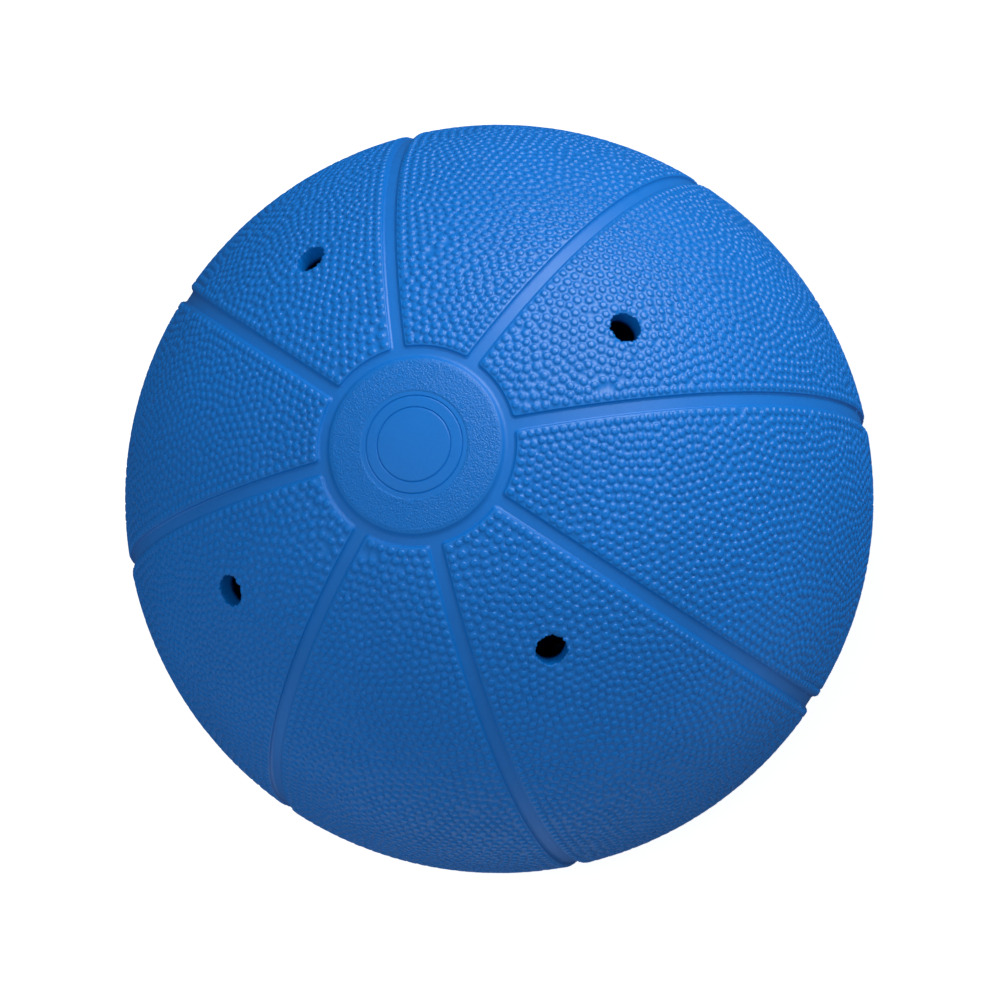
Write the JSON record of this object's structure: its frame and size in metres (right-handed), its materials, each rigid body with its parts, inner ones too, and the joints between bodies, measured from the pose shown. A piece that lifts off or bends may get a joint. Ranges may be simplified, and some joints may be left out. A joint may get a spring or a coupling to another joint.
{
  "type": "goalball",
  "caption": "Hollow blue rubber ball with pebbled panels between smooth seam channels, a smooth disc at each end, sound holes and loose jingle bells inside.",
  "frame": {"origin": "the ball's centre", "axes": "+Z along the axis through the two smooth end discs, towards the half with the pictured disc; +X along a seam channel"},
  "size_m": [0.2416, 0.2416, 0.2414],
  "materials": {
    "rubber": "satin",
    "bell_steel": "satin",
    "pellet_steel": "satin"
  },
  "bodies": {
    "ball": {"upper_shell": "rubber", "lower_shell": "rubber"},
    "bell_1": {"bell_1_upper_cup": "bell_steel", "bell_1_lower_cup": "bell_steel", "bell_1_loop": "bell_steel"},
    "bell_1_clapper": {"bell_1_pellet": "pellet_steel"},
    "bell_2": {"bell_2_upper_cup": "bell_steel", "bell_2_lower_cup": "bell_steel", "bell_2_loop": "bell_steel"},
    "bell_2_clapper": {"bell_2_pellet": "pellet_steel"}
  },
  "joints": [
    {"name": "bell_1_roll", "type": "hinge", "parent": "ball", "child": "bell_1", "pos_m": [0, 0, 0], "axis": [1, 0, 0], "continuous": true},
    {"name": "bell_1_pellet_roll", "type": "hinge", "parent": "bell_1", "child": "bell_1_clapper", "pos_m": [-0.0195, 0, -0.09522], "axis": [1, 0, 0], "continuous": true},
    {"name": "bell_2_roll", "type": "hinge", "parent": "ball", "child": "bell_2", "pos_m": [0, 0, 0], "axis": [1, 0, 0], "continuous": true},
    {"name": "bell_2_pellet_roll", "type": "hinge", "parent": "bell_2", "child": "bell_2_clapper", "pos_m": [0.0195, 0, -0.09522], "axis": [1, 0, 0], "continuous": true}
  ]
}
